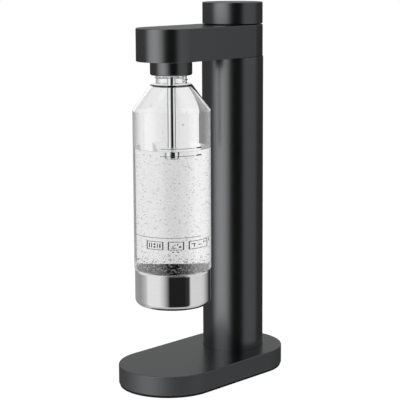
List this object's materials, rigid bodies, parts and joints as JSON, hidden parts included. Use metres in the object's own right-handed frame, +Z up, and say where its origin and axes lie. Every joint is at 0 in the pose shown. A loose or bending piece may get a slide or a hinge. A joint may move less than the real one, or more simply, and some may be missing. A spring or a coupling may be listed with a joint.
{
  "type": "soda carbonator",
  "caption": "Twist-knob water carbonator: stadium base, round column holding the gas cylinder, arm with nozzle, and a clear bottle with a steel cup.",
  "frame": {"origin": "middle of the base's footprint, on the surface that the foot ring rests on", "axes": "+Z up, +Y to the rear where the column stands, -Y to the front where the bottle hangs, +X to the right seen from the front"},
  "size_m": [0.114, 0.2214, 0.4235],
  "materials": {
    "black_anodised": "satin black anodised",
    "black_plastic": "fine matt moulded",
    "mirror_steel": "mirror polished stainless steel",
    "clear_pet": "clear, glossy",
    "zinc_steel": "zinc plated",
    "cast_steel": "oiled, as cut",
    "bare_aluminium": "satin",
    "brass": "turned",
    "black_rubber": "matt",
    "clear_silicone": "translucent, matt",
    "white_nylon": "moulded"
  },
  "bodies": {
    "frame": {"base_shell": "black_anodised", "column_tube": "black_anodised", "arm_shell": "black_anodised", "base_bottom_plate": "black_plastic", "arm_bottom_plate": "black_plastic", "bottle_socket": "black_plastic", "bottom_screw_1": "zinc_steel", "bottom_screw_2": "zinc_steel", "bottom_screw_3": "zinc_steel", "bottom_screw_4": "zinc_steel", "flange_screw_1": "zinc_steel", "flange_screw_2": "zinc_steel", "flange_screw_3": "zinc_steel", "flange_screw_4": "zinc_steel", "arm_mount_screw_1": "zinc_steel", "arm_mount_screw_2": "zinc_steel", "arm_mount_screw_3": "zinc_steel", "nozzle_head_screw_1": "zinc_steel", "nozzle_head_screw_2": "zinc_steel", "nozzle_head_screw_3": "zinc_steel", "arm_cover_screw_1": "zinc_steel", "arm_cover_screw_2": "zinc_steel", "knob_stop_pin": "zinc_steel", "knob_spring": "zinc_steel", "pusher_spring": "zinc_steel", "valve_pin_spring": "zinc_steel", "relief_spring": "zinc_steel", "valve_block": "zinc_steel", "nozzle_head": "zinc_steel", "base_ballast": "cast_steel", "column_flange": "cast_steel", "gas_cylinder": "bare_aluminium", "column_top_ring": "bare_aluminium", "cylinder_valve": "brass", "hose_fitting_rear": "brass", "hose_fitting_front": "brass", "relief_valve_body": "brass", "foot_ring": "black_rubber", "valve_seal": "black_rubber", "bottle_seal": "black_rubber", "gas_hose": "clear_silicone", "cylinder_guide_lower": "white_nylon", "cylinder_guide_upper": "white_nylon", "knob_bush": "white_nylon"},
    "knob": {"knob_cap": "black_anodised", "knob_hub": "white_nylon", "knob_screw": "zinc_steel", "knob_clip": "zinc_steel"},
    "pusher": {"pusher": "white_nylon"},
    "valve_pin": {"valve_pin": "brass"},
    "nozzle": {"nozzle_ball": "white_nylon", "nozzle_tube": "mirror_steel", "nozzle_tip": "mirror_steel"},
    "bottle": {"bottle_body": "clear_pet", "bottle_cup": "mirror_steel"},
    "hatch": {"cylinder_hatch": "black_plastic", "hatch_pad": "black_rubber"},
    "relief": {"relief_poppet": "clear_silicone"}
  },
  "joints": [
    {"name": "knob_turn", "type": "hinge", "parent": "frame", "child": "knob", "pos_m": [0, 0.0537, 0.4115], "axis": [0, 0, -1], "range_deg": [0, 50], "stiffness_Nm_per_rad": 0.3, "springref_deg": -20.05},
    {"name": "pusher_slide", "type": "slide", "parent": "frame", "child": "pusher", "axis": [0, 0, -1], "range_m": [0, 0.00241], "deforming": ["pusher_spring"]},
    {"name": "valve_pin_slide", "type": "slide", "parent": "frame", "child": "valve_pin", "axis": [0, 0, -1], "range_m": [0, 0.00241], "deforming": ["valve_pin_spring"]},
    {"name": "nozzle_swing", "type": "hinge", "parent": "frame", "child": "nozzle", "pos_m": [0, -0.0469, 0.368], "axis": [1, 0, 0], "range_deg": [-5, 5]},
    {"name": "bottle_lower", "type": "slide", "parent": "frame", "child": "bottle", "axis": [0, 0, -1], "range_m": [0, 0.062]},
    {"name": "hatch_turn", "type": "hinge", "parent": "frame", "child": "hatch", "pos_m": [0, 0.0537, 0.0045], "axis": [0, 0, -1], "range_deg": [0, 40]},
    {"name": "relief_lift", "type": "slide", "parent": "frame", "child": "relief", "axis": [-1, 0, 0], "range_m": [0, 0.0012], "stiffness_N_per_m": 2000, "springref_m": -0.0035, "deforming": ["relief_spring"]}
  ],
  "couplings": [
    {"joint": "pusher_slide", "follows": "knob_turn", "m_per_rad": 0.0027502},
    {"joint": "valve_pin_slide", "follows": "knob_turn", "m_per_rad": 0.0027502}
  ]
}
